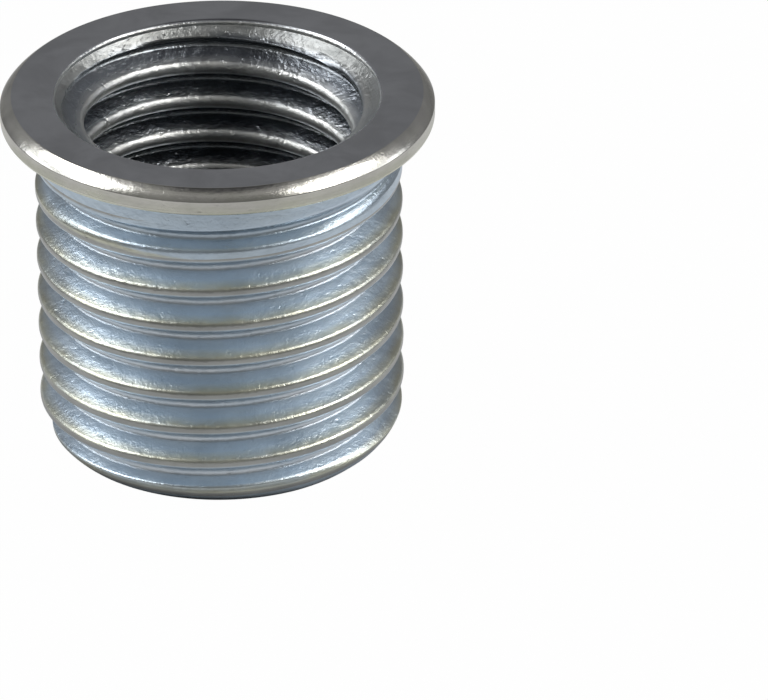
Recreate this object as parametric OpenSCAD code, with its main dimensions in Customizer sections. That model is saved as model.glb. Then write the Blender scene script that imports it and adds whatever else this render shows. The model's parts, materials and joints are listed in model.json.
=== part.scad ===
// Flanged threaded insert, turned from one piece of bar.
// It stands on its lower end: the axis is Z, the lower end is at z = 0 and the flange is on top.
// A screw fits the inner thread, and the outer thread grips the tapped hole of the part it mends.

/* [Whole insert] */
// Length from the lower end to the top of the flange
overall_length = 14.5; // [10:0.1:30]
// Distance from one thread crest to the next, the same inside and outside
pitch = 1.5; // [0.75:0.25:2]
// Angle between the two flanks of a thread
thread_angle = 60; // [55:1:60]
// Nominal diameter of the screw that fits: the roots of the inner thread
screw_d = 12; // [8:0.5:24]
// Thinnest wall: from the roots of the inner thread to the roots of the outer one
wall = 0.34; // [0.25:0.01:1.5]

/* [Outer thread] */
// Share of the pitch that each flat crest takes
outer_crest_share = 0.25; // [0.15:0.01:0.35]
// Share of the pitch that each flat root takes
outer_root_share = 0.125; // [0.08:0.01:0.2]
// Plain neck left between the flange and the first groove
neck_h = 1.2; // [0.8:0.05:4]

/* [Flange] */
// How far the flange stands out past the outer crests
flange_overhang = 1.27; // [0.8:0.05:5]
// Thickness of the flange
flange_h = 1.02; // [0.7:0.01:3]
// Chamfer round the top edge
flange_chamfer = 0.44; // [0.1:0.01:0.5]
// Radius that breaks the lower edge
flange_edge_r = 0.1; // [0.05:0.01:0.18]
// Fillet between the underside and the neck
neck_fillet_r = 0.15; // [0.05:0.01:0.4]

/* [Lower end] */
// Height of the rounded lead that starts the outer thread
lead_h = 1.65; // [1.1:0.05:3]
// Distance that the lead draws in at the very end
lead_inset = 0.8; // [0.4:0.05:1]

/* [Inner thread] */
// Share of the pitch that each flat crest takes
inner_crest_share = 0.25; // [0.15:0.01:0.35]
// Share of the pitch that each flat root takes
inner_root_share = 0.125; // [0.08:0.01:0.2]
// Depth of the first groove's centre below the top of the flange
inner_groove_start = 0.85; // [0.3:0.01:1.5]
// How far the top countersink opens past the screw's radius
countersink_lip = 0.25; // [0.05:0.05:1]
// Angle of both countersinks
countersink_angle = 90; // [60:5:120]
// Chamfer that breaks the top countersink's rim
rim_chamfer = 0.2; // [0.05:0.05:0.4]
// Height of the short straight step under that chamfer
rim_step_h = 0.2; // [0.05:0.05:0.6]
// Height of the small countersink at the lower end
exit_countersink_h = 0.6; // [0.2:0.05:0.8]

/* [Hidden] */
$fn = 128;

flank_slope = tan(thread_angle / 2);
countersink_slope = tan(countersink_angle / 2);

// Inner thread
inner_crest_w = pitch * inner_crest_share;
inner_root_w = pitch * inner_root_share;
inner_depth = (pitch - inner_crest_w - inner_root_w) / 2 / flank_slope;
inner_root_r = screw_d / 2;
inner_crest_r = inner_root_r - inner_depth;
inner_groove_top = overall_length - inner_groove_start;
inner_groove_count = floor((inner_groove_top - exit_countersink_h) / pitch) + 1;

// Countersinks: the top one is chamfered and stepped at its rim, and the cone starts below
rim_r = inner_root_r + countersink_lip;
cone_top_r = rim_r - rim_chamfer;
cone_top_z = overall_length - rim_chamfer - rim_step_h;
cone_h = (cone_top_r - inner_crest_r) / countersink_slope;
exit_countersink_r = inner_crest_r + exit_countersink_h * countersink_slope;

// Outer thread
outer_crest_w = pitch * outer_crest_share;
outer_root_w = pitch * outer_root_share;
outer_depth = (pitch - outer_crest_w - outer_root_w) / 2 / flank_slope;
outer_root_r = inner_root_r + wall;
outer_crest_r = outer_root_r + outer_depth;

// Flange
flange_r = outer_crest_r + flange_overhang;
flange_seat_z = overall_length - flange_h;

// The grooves are counted down from the neck outside
outer_groove_mouth = outer_root_w + 2 * outer_depth * flank_slope;
outer_groove_top = flange_seat_z - neck_h - outer_groove_mouth / 2;
outer_groove_count = floor((outer_groove_top - pitch / 2) / pitch) + 1;

// Rounded lead
lead_end_r = outer_crest_r - lead_inset;
lead_arc_r = (lead_h * lead_h + lead_inset * lead_inset) / (2 * lead_inset);

corner_steps = 4;
lead_steps = 10;
// How far a cutter reaches past the face that it opens
overcut = 0.5;

// Points along an arc about a centre, from one angle to another
function arc_points(centre, radius, from, to, steps) =
    [for (i = [0 : steps])
        let (angle = from + (to - from) * i / steps)
        centre + radius * [cos(angle), sin(angle)]];

// Right-hand half of the blank's section: rounded lead, plain cylinder, neck and flange
function blank_outline() =
    let (
        lead_centre = [outer_crest_r - lead_arc_r, lead_h],
        lead_end_angle = -asin(lead_h / lead_arc_r),
        fillet_centre = [outer_crest_r + neck_fillet_r, flange_seat_z - neck_fillet_r],
        edge_centre = [flange_r - flange_edge_r, flange_seat_z + flange_edge_r]
    )
    concat(
        [[0, 0]],
        arc_points(lead_centre, lead_arc_r, lead_end_angle, 0, lead_steps),
        arc_points(fillet_centre, neck_fillet_r, 180, 90, corner_steps),
        arc_points(edge_centre, flange_edge_r, -90, 0, corner_steps),
        [
            [flange_r, overall_length - flange_chamfer],
            [flange_r - flange_chamfer, overall_length],
            [0, overall_length]
        ]
    );

// One groove's section, from its flat root along both flanks to past the crests.
// It opens away from the axis when outward is 1, and towards it when outward is -1.
module groove_section(root_r, root_w, depth, outward) {
    reach = depth + overcut;
    mouth_w = root_w + 2 * reach * flank_slope;
    mouth_r = root_r + outward * reach;
    polygon([
        [root_r, -root_w / 2],
        [root_r, root_w / 2],
        [mouth_r, mouth_w / 2],
        [mouth_r, -mouth_w / 2]
    ]);
}

// Section of all the outer grooves, one pitch apart
module outer_grooves() {
    for (i = [0 : outer_groove_count - 1])
        translate([0, outer_groove_top - i * pitch])
            groove_section(outer_root_r, outer_root_w, outer_depth, 1);
}

// Section of all the inner grooves, one pitch apart
module inner_grooves() {
    for (i = [0 : inner_groove_count - 1])
        translate([0, inner_groove_top - i * pitch])
            groove_section(inner_root_r, inner_root_w, inner_depth, -1);
}

// Section of the bore at the inner thread's crests, with a countersink at each end
module bore_section() {
    overcut_r = overcut * countersink_slope;
    polygon([
        [0, -overcut],
        [exit_countersink_r + overcut_r, -overcut],
        [exit_countersink_r, 0],
        [inner_crest_r, exit_countersink_h],
        [inner_crest_r, cone_top_z - cone_h],
        [cone_top_r, cone_top_z],
        [cone_top_r, overall_length - rim_chamfer],
        [rim_r, overall_length],
        [rim_r + overcut, overall_length + overcut],
        [0, overall_length + overcut]
    ]);
}

// The turned insert: the blank, its threaded bore and its outer thread
module insert() {
    color("silver")
        rotate_extrude()
            difference() {
                polygon(blank_outline());
                bore_section();
                outer_grooves();
                inner_grooves();
            }
}

insert();
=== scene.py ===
"""Dresses the threaded insert: true helical threads, a zinc-plate finish and a plain studio."""

import json
import math

import bpy
import numpy as np
from bpy.props import FloatProperty, FloatVectorProperty, IntProperty, PointerProperty
from mathutils import Matrix, Vector


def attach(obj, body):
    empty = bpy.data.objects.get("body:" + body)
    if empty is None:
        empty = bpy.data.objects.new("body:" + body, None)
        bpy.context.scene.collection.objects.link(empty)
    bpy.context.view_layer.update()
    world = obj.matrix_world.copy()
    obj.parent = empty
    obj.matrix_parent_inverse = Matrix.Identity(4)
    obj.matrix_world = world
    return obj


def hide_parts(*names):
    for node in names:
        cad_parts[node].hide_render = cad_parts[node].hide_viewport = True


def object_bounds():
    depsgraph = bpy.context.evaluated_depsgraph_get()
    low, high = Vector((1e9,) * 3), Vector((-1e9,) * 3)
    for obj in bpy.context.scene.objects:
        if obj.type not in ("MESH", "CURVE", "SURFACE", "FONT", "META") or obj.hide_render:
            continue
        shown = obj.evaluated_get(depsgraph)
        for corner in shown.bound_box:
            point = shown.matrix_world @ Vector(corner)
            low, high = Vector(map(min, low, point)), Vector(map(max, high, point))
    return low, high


bl_info = {
    "name": "Threaded insert",
    "version": (1, 0, 0),
    "blender": (4, 5, 0),
    "location": "3D View > Sidebar > Insert",
    "description": "Builds a zinc-plated threaded insert with helical threads, and a studio for it",
    "category": "Add Mesh",
}

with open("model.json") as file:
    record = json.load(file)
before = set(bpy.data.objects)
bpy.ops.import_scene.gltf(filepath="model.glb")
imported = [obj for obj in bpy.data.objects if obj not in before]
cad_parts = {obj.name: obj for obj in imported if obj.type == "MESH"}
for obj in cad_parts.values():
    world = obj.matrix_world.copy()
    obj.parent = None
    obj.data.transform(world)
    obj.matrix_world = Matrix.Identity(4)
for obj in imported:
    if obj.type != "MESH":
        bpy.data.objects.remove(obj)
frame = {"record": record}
CAD_BOX = [list(corner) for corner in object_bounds()]
MOUNTS = {mount["name"]: mount for mount in frame["record"]["mounts"]}
MM = 0.001
TURN = 2 * math.pi

OVERALL_LENGTH = CAD_BOX[1][2] - CAD_BOX[0][2]
FLANGE_RADIUS = (CAD_BOX[1][0] - CAD_BOX[0][0]) / 2
SEAT_HEIGHT = MOUNTS["flange_seat"]["pos_m"][2]
OUTER_CREST_RADIUS = MOUNTS["outer_thread"]["dims"]["r_mm"] * MM
INNER_CREST_RADIUS = MOUNTS["inner_thread"]["dims"]["r_mm"] * MM


# ---------------------------------------------------------------- settings

def length(name, description, default):
    """A property for a length in metres."""
    return FloatProperty(name=name, description=description, default=default, min=0.0,
                         precision=5, unit="LENGTH")


def share(name, description, default):
    """A property for a share from 0 to 1."""
    return FloatProperty(name=name, description=description, default=default, min=0.0, max=1.0,
                         subtype="FACTOR")


def colour(name, description, default):
    """A property for a linear colour."""
    return FloatVectorProperty(name=name, description=description, default=default, size=3,
                               min=0.0, max=1.0, subtype="COLOR")


class InsertShape(bpy.types.PropertyGroup):
    """Sizes of the insert. The main ones start from the CAD model."""

    overall_length: length("Overall length", "Lower end to flange top", OVERALL_LENGTH)
    pitch: length("Pitch", "Distance from one crest to the next", 1.5 * MM)
    thread_depth: length("Thread depth", "Crest to root", 0.812 * MM)
    flank_slope: FloatProperty(name="Flank slope", description="Angle from the axis to a flank",
                               default=math.radians(60.0), subtype="ANGLE")
    outer_crest: length("Outer crest", "Width of the outer crests", 0.3 * MM)
    inner_crest: length("Inner crest", "Width of the inner crests", 0.375 * MM)
    outer_rounding: length("Outer rounding", "Radius of the outer crests' corners", 0.24 * MM)
    inner_rounding: length("Inner rounding", "Radius of the inner crests' corners", 0.32 * MM)
    root_rounding: length("Root rounding", "Radius of the rounded roots", 0.15 * MM)
    softness: length("Softness", "Rounding where other surfaces meet a thread", 0.06 * MM)
    outer_crest_radius: length("Outer crest radius", "Radius over the outer crests",
                               OUTER_CREST_RADIUS)
    inner_crest_radius: length("Inner crest radius", "Radius at the inner crests",
                               INNER_CREST_RADIUS)
    outer_start: length("Outer groove start", "Depth of the outer groove on the left", 1.654 * MM)
    inner_start: length("Inner groove start", "Depth of the inner groove at the back", 0.85 * MM)
    run_out_start: length("Run-out start", "Height where the outer groove starts to rise",
                          SEAT_HEIGHT - 2.2 * MM)
    run_out_end: length("Run-out end", "Height where the outer groove has gone",
                        SEAT_HEIGHT - 0.9 * MM)
    flange_radius: length("Flange radius", "Radius of the flange", FLANGE_RADIUS)
    seat_height: length("Seat height", "Height of the flange's underside", SEAT_HEIGHT)
    flange_chamfer: length("Flange chamfer", "Chamfer round the flange's top edge", 0.44 * MM)
    corner_radius: length("Corner radius", "Rounding of the sharp corners", 0.07 * MM)
    under_radius: length("Under radius", "Rounding of the flange's lower corner", 0.16 * MM)
    neck_fillet: length("Neck fillet", "Fillet under the flange", 0.15 * MM)
    lead_height: length("Lead height", "Height of the rounded lower end", 1.65 * MM)
    lead_inset: length("Lead inset", "How far the lower end draws in", 0.8 * MM)
    rim_radius: length("Rim radius", "Radius of the countersink's rim", 6.42 * MM)
    rim_lip: length("Rim lip", "Rounding of the rim", 0.22 * MM)
    rim_chamfer: length("Rim chamfer", "Width of the chamfer cut last, at the rim", 0.12 * MM)
    rim_step: length("Rim step", "Height of the step below that chamfer", 0.13 * MM)
    rim_rounding: length("Rim rounding", "Rounding where the countersink meets the thread",
                         0.08 * MM)
    exit_rim_radius: length("Exit rim radius", "Radius of the lower countersink", 5.788 * MM)
    columns: IntProperty(name="Columns", description="Steps round the insert", default=216,
                         min=48, max=720)


class ZincFinish(bpy.types.PropertyGroup):
    """Colours and texture of the zinc plate."""

    plate: colour("Plate", "Zinc with a blue passivation", (0.58, 0.69, 0.80))
    worn: colour("Worn crests", "Bare zinc along the crests", (0.41, 0.42, 0.415))
    face: colour("Turned face", "Zinc on the flat turned faces", (0.58, 0.595, 0.62))
    edge: colour("Edge", "Zinc round the flange's edge, where the passivation has rubbed off",
                 (0.70, 0.69, 0.655))
    stain: colour("Stain", "Olive film along the crests", (0.60, 0.61, 0.51))
    # Painted shade: a darker copy of the plate inside the bore.
    bore: colour("Bore", "Zinc inside the bore", (0.3, 0.33, 0.37))
    torn: colour("Torn crests", "Zinc on the torn crests of the bore", (0.66, 0.67, 0.655))
    # Painted light: a colour lighter than the plate in the outer thread's roots, lifting the shade
    # there.
    painted_root_light: colour("Fresh roots", "Unworn plate in the roots", (0.78, 0.83, 0.88))
    # Grime and painted shade: a dark colour in the bore's roots.
    grime_and_shade: colour("Grime", "Dark film left in the roots of the bore", (0.2, 0.21, 0.21))
    roughness: share("Roughness", "Roughness of the plated thread", 0.3)
    bore_roughness: share("Bore roughness", "Roughness of the bore", 0.2)
    edge_roughness: share("Edge roughness", "Roughness round the flange's edge", 0.16)
    face_roughness: share("Face roughness", "Roughness of the flat turned faces", 0.14)


class StudioStage(bpy.types.PropertyGroup):
    """The floor, the lamps and the camera."""

    floor: colour("Floor", "Pale paper floor", (0.27, 0.27, 0.27))
    floor_white: share("Floor white", "How far the floor is shown as plain white", 0.99)
    # Painted reflection: the white share of the painted bright patch that the metal sees round the
    # insert, and how far from the insert that patch reaches.
    floor_gloss: share("Floor in reflections", "The same, as the metal mirrors it", 0.43)
    painted_glow_reach: length("Bright floor", "How far from the insert that goes", 70.0 * MM)
    back_wall: colour("Back wall", "Studio behind the insert", (0.2, 0.2, 0.205))
    front_wall: colour("Front wall", "Studio behind the camera", (0.17, 0.17, 0.165))
    front_glow: colour("Front glow", "Upper part of the front wall", (0.36, 0.355, 0.35))
    ceiling: colour("Ceiling", "Studio overhead", (0.04, 0.04, 0.045))
    left_level: FloatProperty(name="Left softbox", description="Brightness of its face",
                              default=4.7, min=0.0)
    right_level: FloatProperty(name="Right softbox", description="Brightness of its face",
                               default=6.5, min=0.0)
    low_level: FloatProperty(name="Low softboxes", description="Brightness of their faces",
                             default=2.8, min=0.0)
    camera_elevation: FloatProperty(name="Camera elevation", description="Angle above the horizon",
                                    default=math.radians(28.44), subtype="ANGLE")
    camera_roll: FloatProperty(name="Camera roll", description="Turn about the line of sight",
                               default=math.radians(0.46), subtype="ANGLE")
    camera_distance: length("Camera distance", "Camera to the plane of the insert", 377.4 * MM)
    camera_focal: FloatProperty(name="Focal length", description="Lens in millimetres",
                                default=457.4, min=1.0)
    aim_right: length("Aim right", "How far to the insert's right the camera aims", 6.451 * MM)
    aim_down: length("Aim down", "How far below the flange's top the camera aims", 9.961 * MM)


# ---------------------------------------------------------------- thread surfaces

# Film and wear, measured along the axis: how far before a crest's corner each starts, and over
# what length it grows to its full amount.
STAIN_BEFORE, STAIN_RISE = 0.13 * MM, 0.06 * MM
WEAR_BEFORE, WEAR_RISE = 0.04 * MM, 0.05 * MM
TORN_BEFORE, TORN_RISE = 0.13 * MM, 0.08 * MM
# How far past the corner the stain ends, over what length it fades, and how much later the
# wear starts at a crest's lower corner.
STAIN_PAST, STAIN_FALL = 0.06 * MM, 0.04 * MM
WEAR_DELAY = 0.06 * MM
# How far the countersink has to cut past the roots to count as turned all over.
TURNED_RISE = 0.05 * MM
# The flange's chamfer bulges between these two slopes.
CHAMFER_LOW, CHAMFER_HIGH = math.radians(35), math.radians(55)
# How much film is left on the last ring of the flange's lower corner.
LAST_FILM = 0.6


def lower_of(a, b, k):
    """The lower of two values, rounded over k where they meet."""
    h = np.maximum(k - np.abs(a - b), 0.0) / k
    return np.minimum(a, b) - h * h * k / 4


def higher_of(a, b, k):
    """The higher of two values, rounded over k where they meet."""
    return -lower_of(-a, -b, k)


def groove_offset(s, z, turns, centre):
    """Offset along the axis from the nearest groove of a right-hand helix."""
    pitches = (z - centre) / s.pitch - turns
    return (pitches - np.round(pitches)) * s.pitch


def thread_corners(s, crest_width, crest_radius):
    """Slope angle of a flank, then each corner's place along the pitch, radius and tangent."""
    crest = (s.pitch - crest_width) / 2
    root = crest - s.thread_depth / math.tan(s.flank_slope)
    slope = s.flank_slope
    bend = math.tan(slope / 2)
    return slope, (root, s.root_rounding, s.root_rounding * bend), (
        crest, crest_radius, crest_radius * bend)


def groove_height(s, offset, crest_width, crest_radius):
    """Height above the root, at an offset from a groove's centre, with rounded corners."""
    slope, (root, root_radius, root_run), (crest, _, crest_run) = thread_corners(
        s, crest_width, crest_radius)
    x = np.abs(offset)
    flank = (x - root) * math.tan(slope)
    past = np.clip(x - root + root_run, 0.0, root_radius * math.sin(slope))
    hollow = root_radius - np.sqrt(root_radius ** 2 - past ** 2)
    short = np.clip(crest + crest_run - x, 0.0, crest_radius * math.sin(slope))
    round_top = s.thread_depth - crest_radius + np.sqrt(crest_radius ** 2 - short ** 2)
    height = np.where(x < root + root_run * math.cos(slope), hollow, flank)
    return np.where(x > crest - crest_run * math.cos(slope), round_top, height)


def lead_arc(s):
    """Radius of the arc that rounds the lower end."""
    return (s.lead_height ** 2 + s.lead_inset ** 2) / (2 * s.lead_inset)


def lead_radius(s, z):
    """Radius of the rounded lower end at a height."""
    below = np.clip(s.lead_height - z, 0.0, lead_arc(s))
    return s.outer_crest_radius - lead_arc(s) + np.sqrt(lead_arc(s) ** 2 - below * below)


def lead_facing(s):
    """Angle above the horizon that the rounded lower end faces at its lowest point."""
    return -math.asin(s.lead_height / lead_arc(s))


def outer_wall(s, turns, z):
    """Radius of the outer thread, with its run-out and rounded lead, and the groove offset."""
    centre = s.overall_length - s.outer_start
    offset = groove_offset(s, z, turns - 0.5, centre)
    rise = (z - offset - s.run_out_start) / (s.run_out_end - s.run_out_start)
    rise = np.clip(rise, 0.0, 1.0) * (s.thread_depth + s.softness)
    thread = groove_height(s, offset, s.outer_crest, s.outer_rounding) + rise
    thread = thread + s.outer_crest_radius - s.thread_depth
    thread = lower_of(thread, s.outer_crest_radius, np.clip(rise, 1e-9, s.softness))
    radius = lower_of(thread, lead_radius(s, z) + s.softness / 4, s.softness)
    # Film and wear go while the groove rises from a quarter to half of its depth.
    return radius, offset * np.clip(2.0 - 4.0 * rise / s.thread_depth, 0.0, 1.0)


def inner_wall(s, turns, z):
    """Radius of the inner thread, with a countersink at each end, and the groove offset."""
    centre = s.overall_length - s.inner_start
    offset = groove_offset(s, z, turns - 0.25, centre)
    thread = groove_height(s, offset, s.inner_crest, s.inner_rounding)
    thread = s.inner_crest_radius + s.thread_depth - thread
    cone = s.rim_radius + s.rim_step - (s.overall_length - z)
    root = s.inner_crest_radius + s.thread_depth
    turned = np.clip((cone - root) / TURNED_RISE, 0.0, 1.0)
    cone = np.minimum(cone, root - (root - cone) * math.tan(s.flank_slope))
    offset = np.abs(offset) + (s.pitch / 2 - np.abs(offset)) * turned
    thread = higher_of(thread, cone, s.rim_rounding)
    return higher_of(thread, s.exit_rim_radius - z, s.softness), offset


def outer_film(s, offset):
    """How far the upper corner of an outer crest is stained, at an offset from a groove."""
    below = -offset - (s.pitch - s.outer_crest) / 2
    start = np.clip((below + STAIN_BEFORE) / STAIN_RISE, 0.0, 1.0)
    return start * np.clip((STAIN_PAST - below) / STAIN_FALL, 0.0, 1.0)


def outer_wear(s, offset):
    """How far an outer crest is bared, at an offset from a groove. Its lower corner is not."""
    past = np.abs(offset) - (s.pitch - s.outer_crest) / 2
    past = past - WEAR_DELAY * (offset > 0.0)
    return np.clip((past + WEAR_BEFORE) / WEAR_RISE, 0.0, 1.0)


def inner_film(s, offset):
    """How far an inner crest is torn and stained, at an offset from a groove."""
    past = np.abs(offset) - (s.pitch - s.inner_crest) / 2
    return np.clip((past + TORN_BEFORE) / TORN_RISE, 0.0, 1.0)


def row_offsets(s, crest_width, crest_radius):
    """Heights within one pitch, from a groove's centre, that follow the rounded corners."""
    slope, (root, root_radius, root_run), (crest, _, crest_run) = thread_corners(
        s, crest_width, crest_radius)
    up = [root - root_run + root_radius * math.sin(slope * i / 3) for i in (1, 2, 3)]
    ends = up[-1], crest + crest_run - crest_radius * math.sin(slope)
    up.append(sum(ends) / 2)
    up += [crest + crest_run - crest_radius * math.sin(slope * i / 5) for i in (5, 4, 3, 2, 1, 0)]
    return np.array([-h for h in reversed(up)] + [0.0] + up + [s.pitch / 2])


class SurfaceMesh:
    """Collects rings, threaded walls and faces for one closed mesh, with exact normals."""

    def __init__(self, s):
        self.s = s
        self.points, self.normals, self.depths, self.edges, self.wear = [], [], [], [], []
        self.faces, self.materials = [], []
        self.count = 0

    def add_points(self, points, normals, depths, edges, wear):
        """Adds points and returns their indices."""
        for store, values in ((self.points, points), (self.normals, normals),
                              (self.depths, depths), (self.edges, edges), (self.wear, wear)):
            store.append(values)
        first = self.count
        self.count += len(points)
        return range(first, self.count)

    def add_face(self, corners, material, flip):
        """Adds one face, turned over where the surface looks towards the axis."""
        self.faces.append(corners[::-1] if flip else corners)
        self.materials.append(material)

    def wall_column(self, wall, turns, z, flip):
        """Points up one column of a threaded wall. The normals come from the wall's slope over
        a small step up, in metres, and a small step round, in turns."""
        s = self.s
        step, turn_step = 0.002 * MM, 0.0001
        radius, offset = wall(s, turns, z)
        slope_up = (wall(s, turns, z + step)[0] - wall(s, turns, z - step)[0]) / (2 * step)
        slope_round = wall(s, turns + turn_step, z)[0] - wall(s, turns - turn_step, z)[0]
        slope_round = slope_round / (2 * turn_step * TURN) / radius
        out = np.array([math.cos(TURN * turns), math.sin(TURN * turns), 0.0])
        along = np.array([-out[1], out[0], 0.0])
        normals = out - slope_round[:, None] * along
        normals[:, 2] -= slope_up
        normals /= np.linalg.norm(normals, axis=1)[:, None] * (-1 if flip else 1)
        points = radius[:, None] * out
        points[:, 2] = z
        if wall is outer_wall:
            crest, edges, wear = s.outer_crest_radius, outer_film(s, offset), outer_wear(s, offset)
        else:
            crest, edges, wear = s.inner_crest_radius, inner_film(s, offset), np.zeros_like(offset)
        depths = np.clip(np.abs(radius - crest) / s.thread_depth, 0.0, 1.0)
        return self.add_points(points, normals, depths, edges, wear)

    def threaded_wall(self, wall, z_low, z_high, start, material, flip):
        """A wall whose rows follow the helix, with start the height of one groove's centre.
        Rows within a margin of either end are left out. Returns its lower and upper rings."""
        s = self.s
        margin = 0.01 * MM
        offsets = (row_offsets(s, s.outer_crest, s.outer_rounding) if wall is outer_wall else
                   row_offsets(s, s.inner_crest, s.inner_rounding))
        first = math.floor((z_low - start) / s.pitch) - 2
        last = math.ceil((z_high - start) / s.pitch) + 2
        rows = np.array([start + k * s.pitch + h for k in range(first, last) for h in offsets])
        columns = []
        for i in range(s.columns):
            turns = i / s.columns
            z = rows + s.pitch * turns
            kept = np.nonzero((z > z_low + margin) & (z < z_high - margin))[0]
            z = np.concatenate([[z_low], z[kept], [z_high]])
            columns.append((int(kept[0]), self.wall_column(wall, turns, z, flip)))
        for i in range(s.columns - 1):
            self.join_columns(columns[i], columns[i + 1], material, flip)
        first_row, points = columns[0]
        self.join_columns(columns[-1], (first_row - len(offsets), points), material, flip)
        return [points[0] for _, points in columns], [points[-1] for _, points in columns]

    def join_columns(self, left, right, material, flip):
        """Faces between two neighbouring columns, each a first row and its points."""
        (left_row, a), (right_row, b) = left, right
        low = max(left_row, right_row)
        high = min(left_row + len(a), right_row + len(b)) - 3
        for row in range(low, high):
            i, k = row - left_row + 1, row - right_row + 1
            self.add_face((a[i], b[k], b[k + 1], a[i + 1]), material, flip)
        self.zip_ends(a[high - left_row + 1:], b[high - right_row + 1:], material, flip)
        a, b = a[:low - left_row + 2], b[:low - right_row + 2]
        self.zip_ends(a[::-1], b[::-1], material, not flip)

    def zip_ends(self, a, b, material, flip):
        """Faces between two short runs of points, one of which may have a point more."""
        shared = min(len(a), len(b))
        for k in range(shared - 1):
            self.add_face((a[k], b[k], b[k + 1], a[k + 1]), material, flip)
        for k in range(shared, len(a)):
            self.add_face((a[k - 1], b[-1], a[k]), material, flip)
        for k in range(shared, len(b)):
            self.add_face((a[-1], b[k - 1], b[k]), material, flip)

    def ring(self, radius, z, angle, film=0.0):
        """A ring where the surface faces out from the axis, turned up by angle."""
        theta = TURN * np.arange(self.s.columns) / self.s.columns
        out = np.stack([np.cos(theta), np.sin(theta), np.zeros_like(theta)], 1)
        up = np.array([0.0, 0.0, 1.0])
        plain = np.zeros(len(theta))
        return self.add_points(out * radius + up * z, out * math.cos(angle) + up * math.sin(angle),
                               plain, plain + film, plain)

    def bands(self, start, section, material, end=None):
        """Quads from a ring through rings at each point of a section, and to an end ring.
        The section runs from the lower end up the outside. Returns the last ring."""
        rings = [start] + [self.ring(*point) for point in section] + ([end] if end else [])
        for lower, upper in zip(rings, rings[1:]):
            for i in range(self.s.columns):
                k = (i + 1) % self.s.columns
                self.add_face((lower[i], lower[k], upper[k], upper[i]), material, False)
        return rings[-1]

    def make_object(self, name, materials):
        """Turns what was collected into an object."""
        data = bpy.data.meshes.new(name)
        data.from_pydata(np.concatenate(self.points).tolist(), [], self.faces)
        for material in materials:
            data.materials.append(material)
        data.polygons.foreach_set("material_index", self.materials)
        data.polygons.foreach_set("use_smooth", [True] * len(self.faces))
        for label, values in (("thread_depth", self.depths), ("crest_edge", self.edges),
                              ("crest_wear", self.wear)):
            layer = data.attributes.new(label, "FLOAT", "POINT")
            layer.data.foreach_set("value", np.concatenate(values).astype(np.float32))
        data.normals_split_custom_set_from_vertices(np.concatenate(self.normals).tolist())
        piece = bpy.data.objects.new(name, data)
        bpy.context.scene.collection.objects.link(piece)
        return piece


def arc(point, radius, start, end, steps):
    """Section points round an arc that sets out from a point, each with the angle that the
    surface faces there. A negative radius is a hollow."""
    r, z = point[0] - radius * math.cos(start), point[1] - radius * math.sin(start)
    angles = [start + (end - start) * i / steps for i in range(steps + 1)]
    return [(r + radius * math.cos(a), z + radius * math.sin(a), a) for a in angles]


THREAD, FACE, BORE, EDGE = range(4)
QUARTER = math.pi / 2


def add_flange(mesh, neck):
    """Rings from the neck round the flange to the countersink's rim. Returns the last one."""
    s = mesh.s
    corner = s.corner_radius
    fillet = arc((s.outer_crest_radius, s.seat_height - s.neck_fillet), -s.neck_fillet,
                 0.0, -QUARTER, 4)
    under = mesh.bands(neck, fillet[1:], THREAD)
    under_corner = [(*point, 1.0) for point in arc(
        (s.flange_radius - s.under_radius, s.seat_height), s.under_radius, -QUARTER, 0.0, 6)]
    section = under_corner[:-1] + [(*under_corner[-1][:3], LAST_FILM)]
    bulge = s.flange_chamfer - corner * (math.sin(CHAMFER_LOW) + 1 - math.sin(CHAMFER_HIGH))
    bulge /= math.sin(CHAMFER_HIGH) - math.sin(CHAMFER_LOW)
    section += arc((s.flange_radius, s.overall_length - s.flange_chamfer), corner,
                   0.0, CHAMFER_LOW, 4)
    section += arc(section[-1], bulge, CHAMFER_LOW, CHAMFER_HIGH, 4)[1:]
    section += arc(section[-1], corner, CHAMFER_HIGH, QUARTER, 4)[1:]
    edge = mesh.bands(under, section, EDGE)
    section = arc((s.rim_radius + s.rim_lip * math.tan(QUARTER / 4), s.overall_length), s.rim_lip,
                  QUARTER, 1.5 * QUARTER, 5)
    return mesh.bands(edge, section, FACE)


def add_countersink(mesh, rim, top):
    """Rings of the chamfer cut last, inside the rim, and of the small step under it."""
    s = mesh.s
    lip = s.rim_step / 5
    radius, z = s.rim_radius - s.rim_chamfer, s.overall_length - s.rim_chamfer
    section = [(radius + lip, z + lip, 1.5 * QUARTER, 1.0), (radius, z - lip, 2 * QUARTER, 1.0),
               (radius, z - s.rim_step + lip, 2 * QUARTER, 1.0)]
    mesh.bands(rim, section, BORE, top)


def add_lower_end(mesh, bore, lead):
    """Rings from the bore's lower ring across the end face to the rounded lead."""
    s = mesh.s
    rounding = s.corner_radius
    drop = rounding * (1 - math.sin(QUARTER / 2))
    section = arc((s.exit_rim_radius - drop, drop), rounding, -1.5 * QUARTER, -QUARTER, 3)
    face = mesh.bands(bore, section[1:], BORE)
    slope = lead_facing(s)
    section = arc((lead_radius(s, 0.0) - rounding * math.cos(slope), 0.0), rounding,
                  -QUARTER, slope, 4)
    mesh.bands(face, section[:-1], FACE, lead)


def build_insert_mesh(s, name, materials):
    """The insert as one closed mesh."""
    mesh = SurfaceMesh(s)
    lead, neck = mesh.threaded_wall(outer_wall, s.corner_radius * (1 + math.sin(lead_facing(s))),
                                    s.seat_height - s.neck_fillet,
                                    s.overall_length - s.outer_start - s.pitch / 2,
                                    THREAD, False)
    rim = add_flange(mesh, neck)
    bore, top = mesh.threaded_wall(inner_wall, s.corner_radius * (1 - math.sin(QUARTER / 2)),
                                   s.overall_length - s.rim_chamfer - s.rim_step,
                                   s.overall_length - s.inner_start - s.pitch / 4, BORE, True)
    add_countersink(mesh, rim, top)
    add_lower_end(mesh, bore, lead)
    return mesh.make_object(name, materials)


# ---------------------------------------------------------------- finish

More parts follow.
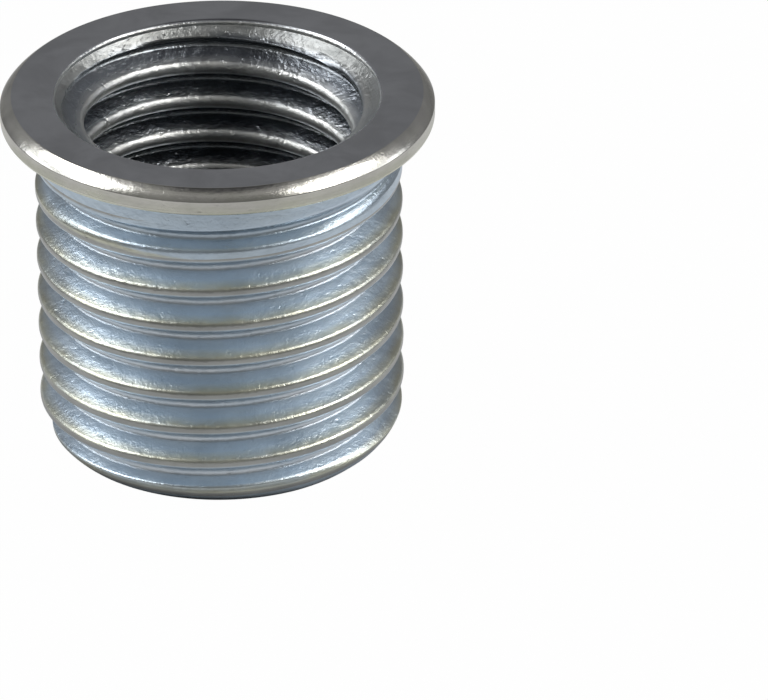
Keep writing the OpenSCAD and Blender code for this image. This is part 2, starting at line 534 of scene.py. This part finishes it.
class Nodes:
    """Makes and links the nodes of one shader tree."""

    def __init__(self, tree):
        self.tree = tree

    def add(self, kind, inputs=None, **settings):
        """Adds a node. Inputs are values, or sockets to link."""
        node = self.tree.nodes.new(kind)
        for key, value in settings.items():
            setattr(node, key, value)
        for key, value in (inputs or {}).items():
            if isinstance(value, bpy.types.NodeSocket):
                self.tree.links.new(value, node.inputs[key])
            else:
                node.inputs[key].default_value = value
        return node

    def math(self, operation, a, b=0.0, c=0.0, clamp=False):
        """A math node's value."""
        return self.add("ShaderNodeMath", {0: a, 1: b, 2: c}, operation=operation,
                        use_clamp=clamp).outputs[0]

    def noise(self, vector, scale, detail=3.0, roughness=0.6, distortion=0.0):
        """A noise texture's value."""
        return self.add("ShaderNodeTexNoise", {"Vector": vector, "Scale": scale, "Detail": detail,
                                               "Roughness": roughness,
                                               "Distortion": distortion}).outputs["Fac"]

    def remap(self, value, low, high, to_low=0.0, to_high=1.0):
        """A value mapped from one range to another, clamped."""
        return self.add("ShaderNodeMapRange", {"Value": value, "From Min": low, "From Max": high,
                                               "To Min": to_low, "To Max": to_high}).outputs[0]

    def mix(self, factor, a, b):
        """Two colours mixed."""
        node = self.add("ShaderNodeMix", data_type="RGBA")
        for socket, value in ((node.inputs[0], factor), (node.inputs[6], a), (node.inputs[7], b)):
            if isinstance(value, bpy.types.NodeSocket):
                self.tree.links.new(value, socket)
            else:
                socket.default_value = value
        return node.outputs[2]


def shader_group(name, inputs, outputs):
    """A new shader node group with named sockets: (kind, name, default) and (kind, name)."""
    tree = bpy.data.node_groups.new(name, "ShaderNodeTree")
    for kind, label, default in inputs:
        socket = tree.interface.new_socket(name=label, in_out="INPUT", socket_type=kind)
        socket.default_value = default
    for kind, label in outputs:
        tree.interface.new_socket(name=label, in_out="OUTPUT", socket_type=kind)
    nodes = Nodes(tree)
    return nodes, nodes.add("NodeGroupInput").outputs, nodes.add("NodeGroupOutput").inputs


FLOAT, COLOUR = "NodeSocketFloat", "NodeSocketColor"


def turning_marks():
    """Node group: the fine rings that a lathe tool leaves round the axis."""
    name = "Turning marks"
    if name in bpy.data.node_groups:
        return bpy.data.node_groups[name]
    nodes, given, out = shader_group(name, [(FLOAT, "Fineness", 9000.0)],
                                     [(FLOAT, "Height"), (FLOAT, "Wear")])
    place = nodes.add("ShaderNodeTexCoord").outputs["Object"]
    axis = nodes.add("ShaderNodeSeparateXYZ", {0: place}).outputs
    flat = nodes.add("ShaderNodeVectorMath", {0: place, 1: (1.0, 1.0, 0.0)}, operation="MULTIPLY")
    radius = nodes.add("ShaderNodeVectorMath", {0: flat.outputs[0]},
                       operation="LENGTH").outputs["Value"]
    drift_x, drift_y = 90.0, 60.0
    around = nodes.math("MULTIPLY_ADD", axis[0], drift_x,
                        nodes.math("MULTIPLY", axis[1], drift_y))
    rings = nodes.add("ShaderNodeCombineXYZ", {
        0: nodes.math("MULTIPLY", radius, given["Fineness"]),
        1: nodes.math("MULTIPLY", axis[2], given["Fineness"]), 2: around}).outputs[0]
    fine = nodes.noise(rings, scale=1.0, detail=2.0, roughness=0.7)
    patches = nodes.remap(nodes.noise(place, scale=700.0, detail=2.0), low=0.3, high=0.7,
                          to_low=0.55)
    wear = nodes.remap(nodes.noise(rings, scale=0.25, detail=1.0), low=0.35, high=0.7)
    nodes.tree.links.new(nodes.math("MULTIPLY", fine, patches), out["Height"])
    nodes.tree.links.new(wear, out["Wear"])
    return nodes.tree


def plate_grain():
    """Node group: the fine grain, blisters and nicks of zinc plate."""
    name = "Plate grain"
    if name in bpy.data.node_groups:
        return bpy.data.node_groups[name]
    nodes, given, out = shader_group(name, [(FLOAT, "Scale", 11000.0)],
                                     [(FLOAT, "Height"), (FLOAT, "Patches")])
    place = nodes.add("ShaderNodeTexCoord").outputs["Object"]
    coarse_scale, fine_share, coarse_share = 0.3, 0.35, 0.65
    fine = nodes.noise(place, given["Scale"], roughness=0.65)
    coarse = nodes.noise(place, nodes.math("MULTIPLY", given["Scale"], coarse_scale),
                         detail=2.0, roughness=0.5)
    nicks = nodes.remap(nodes.noise(place, scale=2600.0, detail=2.0), low=0.64, high=0.8,
                        to_high=0.4)
    patches = nodes.remap(nodes.noise(place, scale=420.0, distortion=0.4), low=0.38, high=0.62)
    height = nodes.math("MULTIPLY_ADD", fine, fine_share,
                        nodes.math("MULTIPLY", coarse, coarse_share))
    nodes.tree.links.new(nodes.math("SUBTRACT", height, nicks), out["Height"])
    nodes.tree.links.new(patches, out["Patches"])
    return nodes.tree


def passivation():
    """Node group: the plate's tint, with bared crests, an olive film on their upper corners and
    another colour towards the roots: painted light on the outer thread, grime and painted shade
    in the bore."""
    name = "Passivation"
    if name in bpy.data.node_groups:
        return bpy.data.node_groups[name]
    nodes, given, out = shader_group(
        name, [(COLOUR, "Plate", (0.5, 0.5, 0.5, 1.0)), (COLOUR, "Stain", (0.3, 0.3, 0.25, 1.0)),
               (COLOUR, "Worn", (0.5, 0.5, 0.5, 1.0)), (COLOUR, "Roots", (0.1, 0.1, 0.1, 1.0)),
               (FLOAT, "Edge", 0.0), (FLOAT, "Wear", 0.0), (FLOAT, "Depth", 0.0),
               (FLOAT, "Patches", 0.5), (FLOAT, "Blotches", 0.1)],
        [(COLOUR, "Color")])
    streak_scale = (500.0, 500.0, 2600.0)
    stain_varies, stain_least = 0.4, 0.6
    root_power, root_varies, root_least = 5.0, 0.5, 0.4
    place = nodes.add("ShaderNodeTexCoord").outputs["Object"]
    streaks = nodes.add("ShaderNodeVectorMath", {0: place, 1: streak_scale},
                        operation="MULTIPLY").outputs[0]
    streak = nodes.remap(nodes.noise(streaks, scale=1.0), low=0.35, high=0.65)
    stain = nodes.math("MULTIPLY", given["Edge"],
                       nodes.math("MULTIPLY_ADD", streak, stain_varies, stain_least))
    stain = nodes.math("ADD", stain, nodes.math("MULTIPLY", streak, given["Blotches"]), clamp=True)
    bared = nodes.mix(given["Wear"], given["Plate"], given["Worn"])
    tinted = nodes.mix(stain, bared, given["Stain"])
    shade = nodes.remap(given["Patches"], low=0.0, high=1.0, to_low=0.9, to_high=1.06)
    varied = nodes.add("ShaderNodeVectorMath", {0: tinted}, operation="SCALE")
    nodes.tree.links.new(shade, varied.inputs["Scale"])
    # Towards the roots the colour turns to the Roots colour: painted light or painted shade in the
    # hollows.
    film = nodes.math("MULTIPLY", nodes.math("POWER", given["Depth"], root_power),
                      nodes.math("MULTIPLY_ADD", streak, root_varies, root_least), clamp=True)
    nodes.tree.links.new(nodes.mix(film, varied.outputs[0], given["Roots"]), out["Color"])
    return nodes.tree


def opaque(value):
    """A colour with full alpha."""
    return (*value, 1.0)


def zinc_material(name, worn, plate, stain, roots, blotches, roughness, crest_roughness,
                  grain_scale, grain_bump, marks_bump):
    """Plated metal, stained and rougher on the crests. The bumps are heights in metres."""
    marks_roughness, patches_roughness = 0.06, 0.05
    material = bpy.data.materials.new(name)
    material.use_nodes = True
    tree = material.node_tree
    tree.nodes.clear()
    nodes = Nodes(tree)
    marks = nodes.add("ShaderNodeGroup", node_tree=turning_marks()).outputs
    grain_node = nodes.add("ShaderNodeGroup", node_tree=plate_grain())
    grain_node.inputs["Scale"].default_value = grain_scale
    grain = grain_node.outputs
    edge = nodes.add("ShaderNodeAttribute", attribute_name="crest_edge").outputs["Fac"]
    depth = nodes.add("ShaderNodeAttribute", attribute_name="thread_depth").outputs["Fac"]
    wear = nodes.add("ShaderNodeAttribute", attribute_name="crest_wear").outputs["Fac"]
    tint = nodes.add("ShaderNodeGroup", node_tree=passivation())
    for label, value in (("Plate", plate), ("Stain", stain), ("Worn", worn), ("Roots", roots)):
        tint.inputs[label].default_value = opaque(value)
    tint.inputs["Blotches"].default_value = blotches
    for label, value in (("Edge", edge), ("Wear", wear), ("Depth", depth),
                         ("Patches", grain["Patches"])):
        tree.links.new(value, tint.inputs[label])
    lines = nodes.add("ShaderNodeBump", {"Strength": 1.0, "Distance": marks_bump,
                                         "Height": marks["Height"]})
    bump = nodes.add("ShaderNodeBump", {"Strength": 1.0, "Distance": grain_bump,
                                        "Height": grain["Height"], "Normal": lines.outputs[0]})
    rough = nodes.math("MULTIPLY_ADD", marks["Wear"], marks_roughness, roughness)
    rough = nodes.math("MULTIPLY_ADD", grain["Patches"], patches_roughness, rough)
    rough = nodes.math("MULTIPLY_ADD", edge, crest_roughness, rough)
    shader = nodes.add("ShaderNodeBsdfPrincipled", {
        "Base Color": tint.outputs["Color"], "Metallic": 1.0, "Roughness": rough,
        "Normal": bump.outputs[0]})
    output = nodes.add("ShaderNodeOutputMaterial")
    tree.links.new(shader.outputs[0], output.inputs["Surface"])
    return material


# ---------------------------------------------------------------- studio

# Name, azimuth, elevation, width, height, the setting of its brightness, and tint. Azimuth 0 is
# in front and 90 is to the right, seen from the front.
SOFTBOXES = (
    ("Left softbox", -92.0, 43.0, 0.36, 0.22, "left_level", (1.0, 1.0, 1.0)),
    ("Right softbox", 76.0, 43.0, 0.32, 0.19, "right_level", (1.0, 0.98, 0.95)),
    ("Low left softbox", -98.0, 19.0, 0.30, 0.09, "low_level", (0.96, 0.98, 1.0)),
    ("Low right softbox", 92.0, 19.0, 0.30, 0.09, "low_level", (0.96, 0.98, 1.0)),
)
SOFTBOX_DISTANCE = 0.5
FLOOR_REACH = 1.5
FLOOR_DROP = 0.00002
# Painted light: in reflections the floor gets a painted glow to the left and right over the first
# span, by the gain, in place of the softboxes' light thrown back. That fades over the second span,
# measured from the axis.
PAINTED_SIDE_SPAN, PAINTED_SIDE_GAIN = (8.0 * MM, 18.0 * MM), 0.8
PAINTED_SIDE_END_SPAN = (32.0 * MM, 24.0 * MM)
# Painted contact shadow: in reflections the floor is painted dark under the insert, and is itself
# again over this span.
PAINTED_CONTACT_SPAN = (6.5 * MM, 7.4 * MM)
# The camera's sensor in millimetres, and the distances that it sees between.
SENSOR_WIDTH = 36.0
CLIP_START, CLIP_END = 0.01, 10.0


def surroundings(world, stage):
    """The plain studio round the insert: dim walls, paler high in front, and a dark ceiling."""
    world.use_nodes = True
    tree = world.node_tree
    tree.nodes.clear()
    nodes = Nodes(tree)
    direction = nodes.add("ShaderNodeTexCoord").outputs["Generated"]
    axis = nodes.add("ShaderNodeSeparateXYZ", {0: direction}).outputs
    ahead = nodes.remap(nodes.math("MULTIPLY", axis[1], -1.0), low=-0.3, high=0.4)
    above = nodes.remap(axis[2], low=0.88, high=0.97)
    glow = nodes.remap(axis[2], low=0.76, high=0.86)
    front = nodes.mix(glow, opaque(stage.front_wall), opaque(stage.front_glow))
    walls = nodes.mix(ahead, opaque(stage.back_wall), front)
    light = nodes.mix(above, walls, opaque(stage.ceiling))
    lit = nodes.add("ShaderNodeBackground", {"Color": light, "Strength": 1.0})
    output = nodes.add("ShaderNodeOutputWorld")
    tree.links.new(lit.outputs[0], output.inputs["Surface"])


def floor_material(stage):
    """Pale paper, mixed with white: nearly all white to the camera, which leaves next to none
    of its shadow. In reflections only, the metal sees a painted bright patch round the insert,
    a painted glow beside it in place of the softboxes' light thrown back, and a painted contact
    shadow where the insert stands on it."""
    material = bpy.data.materials.new("paper")
    material.use_nodes = True
    tree = material.node_tree
    tree.nodes.clear()
    nodes = Nodes(tree)
    place = nodes.add("ShaderNodeTexCoord").outputs["Object"]
    fibre = nodes.remap(nodes.noise(place, scale=4000.0), low=0.3, high=0.7, to_low=0.97)
    colour_node = nodes.add("ShaderNodeVectorMath", {0: tuple(stage.floor)}, operation="SCALE")
    tree.links.new(fibre, colour_node.inputs["Scale"])
    paper = nodes.add("ShaderNodeBsdfPrincipled", {"Base Color": colour_node.outputs[0],
                                                   "Roughness": 0.9})
    white = nodes.add("ShaderNodeEmission", {"Color": (1.0, 1.0, 1.0, 1.0), "Strength": 1.0})
    path = nodes.add("ShaderNodeLightPath").outputs
    mirrored = nodes.math("MAXIMUM", path["Is Glossy Ray"], path["Is Transmission Ray"])
    distance = nodes.add("ShaderNodeVectorMath", {0: place}, operation="LENGTH").outputs["Value"]
    # Painted reflection: a bright patch round the insert, seen only by the metal.
    near = nodes.remap(distance, stage.painted_glow_reach, stage.painted_glow_reach / 2)
    # Painted light: a brighter glow to the left and right of the insert, seen only by the metal.
    side = nodes.math("ABSOLUTE", nodes.add("ShaderNodeSeparateXYZ", {0: place}).outputs[0])
    side = nodes.math("MULTIPLY", nodes.remap(side, *PAINTED_SIDE_SPAN, to_high=PAINTED_SIDE_GAIN),
                      nodes.remap(distance, *PAINTED_SIDE_END_SPAN))
    # Painted contact shadow: the patch goes dark where the insert stands.
    near = nodes.math("MULTIPLY", nodes.math("ADD", near, side),
                      nodes.remap(distance, *PAINTED_CONTACT_SPAN))
    mirrored = nodes.math("MULTIPLY", mirrored, near)
    amount = nodes.math("MULTIPLY_ADD", path["Is Camera Ray"], stage.floor_white,
                        nodes.math("MULTIPLY", mirrored, stage.floor_gloss))
    mixed = nodes.add("ShaderNodeMixShader", {0: amount, 1: paper.outputs[0],
                                              2: white.outputs[0]})
    output = nodes.add("ShaderNodeOutputMaterial")
    tree.links.new(mixed.outputs[0], output.inputs["Surface"])
    return material


def add_softbox(name, azimuth, elevation, width, height, radiance, tint, target):
    """A soft area lamp that faces a target."""
    a, e = math.radians(azimuth), math.radians(elevation)
    out = Vector((math.sin(a) * math.cos(e), -math.cos(a) * math.cos(e), math.sin(e)))
    data = bpy.data.lights.new(name, "AREA")
    data.shape = "RECTANGLE"
    data.size, data.size_y = width, height
    data.energy = radiance * math.pi * width * height
    data.color = tint
    lamp = bpy.data.objects.new(name, data)
    lamp.location = target + out * SOFTBOX_DISTANCE
    lamp.rotation_mode = "QUATERNION"
    lamp.rotation_quaternion = out.to_track_quat("Z", "Y")
    lamp.visible_camera = False
    bpy.context.scene.collection.objects.link(lamp)


def add_floor(stage):
    """The paper that the insert stands on, just below its lower end."""
    x, z = FLOOR_REACH, -FLOOR_DROP
    data = bpy.data.meshes.new("floor")
    data.from_pydata([(-x, -x, z), (x, -x, z), (x, x, z), (-x, x, z)], [], [(0, 1, 2, 3)])
    data.materials.append(floor_material(stage))
    floor = bpy.data.objects.new("floor", data)
    bpy.context.scene.collection.objects.link(floor)


def add_camera(stage, shape):
    """The camera: a long lens from the front and above, aimed beside the insert."""
    e, roll = stage.camera_elevation, stage.camera_roll
    ahead = Vector((0.0, math.cos(e), -math.sin(e)))
    level, rise = Vector((1.0, 0.0, 0.0)), Vector((0.0, math.sin(e), math.cos(e)))
    right = level * math.cos(roll) - rise * math.sin(roll)
    up = level * math.sin(roll) + rise * math.cos(roll)
    top = Vector((0.0, 0.0, shape.overall_length))
    data = bpy.data.cameras.new("Camera")
    data.lens = stage.camera_focal
    data.sensor_width = SENSOR_WIDTH
    data.clip_start, data.clip_end = CLIP_START, CLIP_END
    camera = bpy.data.objects.new("Camera", data)
    place = top + right * stage.aim_right - up * stage.aim_down - ahead * stage.camera_distance
    camera.matrix_world = Matrix((
        (right.x, up.x, -ahead.x, place.x), (right.y, up.y, -ahead.y, place.y),
        (right.z, up.z, -ahead.z, place.z), (0.0, 0.0, 0.0, 1.0)))
    bpy.context.scene.collection.objects.link(camera)
    bpy.context.scene.camera = camera


# ---------------------------------------------------------------- operators

class INSERT_OT_build(bpy.types.Operator):
    """Build the threaded insert with its helical threads and its finish"""

    bl_idname = "insert.build"
    bl_label = "Build insert"

    def execute(self, context):
        finish = context.scene.insert_finish
        materials = (
            # The thread's roots take the painted root light.
            zinc_material("plated thread", finish.worn, plate=finish.plate, stain=finish.stain,
                          roots=finish.painted_root_light, blotches=0.12, roughness=finish.roughness,
                          crest_roughness=0.0, grain_scale=11000.0, grain_bump=0.034 * MM,
                          marks_bump=0.003 * MM),
            zinc_material("turned face", finish.worn, plate=finish.face, stain=finish.stain,
                          roots=finish.grime_and_shade, blotches=0.03, roughness=finish.face_roughness,
                          crest_roughness=0.0, grain_scale=9000.0, grain_bump=0.002 * MM,
                          marks_bump=0.006 * MM),
            # Painted shade: the bore's plate colour is a darker copy of the plate.
            zinc_material("plated bore", finish.worn, plate=finish.bore, stain=finish.torn,
                          # Grime and painted shade darken the bore's roots.
                          roots=finish.grime_and_shade, blotches=0.1, roughness=finish.bore_roughness,
                          crest_roughness=0.13, grain_scale=7000.0, grain_bump=0.07 * MM,
                          marks_bump=0.003 * MM),
            zinc_material("flange edge", finish.worn, plate=finish.edge, stain=finish.stain,
                          roots=finish.grime_and_shade, blotches=0.35, roughness=finish.edge_roughness,
                          crest_roughness=0.1, grain_scale=8000.0, grain_bump=0.014 * MM,
                          marks_bump=0.004 * MM),
        )
        piece = build_insert_mesh(context.scene.insert_shape, "threaded_insert", materials)
        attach(piece, "root")
        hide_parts("insert")
        return {"FINISHED"}


class INSERT_OT_stage(bpy.types.Operator):
    """Add the paper floor, the softboxes, the surroundings and the camera"""

    bl_idname = "insert.stage"
    bl_label = "Build studio"

    def execute(self, context):
        scene = context.scene
        stage, shape = scene.insert_stage, scene.insert_shape
        add_floor(stage)
        target = Vector((0.0, 0.0, shape.overall_length / 2))
        for name, azimuth, elevation, width, height, level, tint in SOFTBOXES:
            add_softbox(name, azimuth, elevation, width, height, getattr(stage, level), tint,
                        target)
        scene.world = bpy.data.worlds.new("Studio")
        surroundings(scene.world, stage)
        add_camera(stage, shape)
        scene.view_settings.view_transform = "Standard"
        return {"FINISHED"}


class INSERT_PT_panel(bpy.types.Panel):
    """Buttons that build the insert and its studio"""

    bl_label = "Threaded insert"
    bl_idname = "INSERT_PT_panel"
    bl_space_type = "VIEW_3D"
    bl_region_type = "UI"
    bl_category = "Insert"

    def draw(self, context):
        scene = context.scene
        for settings, operator in ((scene.insert_shape, INSERT_OT_build),
                                   (scene.insert_stage, INSERT_OT_stage)):
            column = self.layout.column(align=True)
            for name in settings.__annotations__:
                column.prop(settings, name)
            self.layout.operator(operator.bl_idname)
        column = self.layout.column(align=True)
        for name in scene.insert_finish.__annotations__:
            column.prop(scene.insert_finish, name)


GROUPS = (("insert_shape", InsertShape), ("insert_finish", ZincFinish),
          ("insert_stage", StudioStage))
CLASSES = tuple(group for _, group in GROUPS) + (INSERT_OT_build, INSERT_OT_stage,
                                                 INSERT_PT_panel)


def register():
    """Registers the classes and adds the settings to the scene."""
    for cls in CLASSES:
        bpy.utils.register_class(cls)
    for name, group in GROUPS:
        setattr(bpy.types.Scene, name, PointerProperty(type=group))


def unregister():
    """Removes the settings and the classes."""
    for name, _ in GROUPS:
        delattr(bpy.types.Scene, name)
    for cls in reversed(CLASSES):
        bpy.utils.unregister_class(cls)


def main():
    """Builds everything."""
    register()
    bpy.ops.insert.build()
    bpy.ops.insert.stage()


if __name__ == "__main__":
    main()
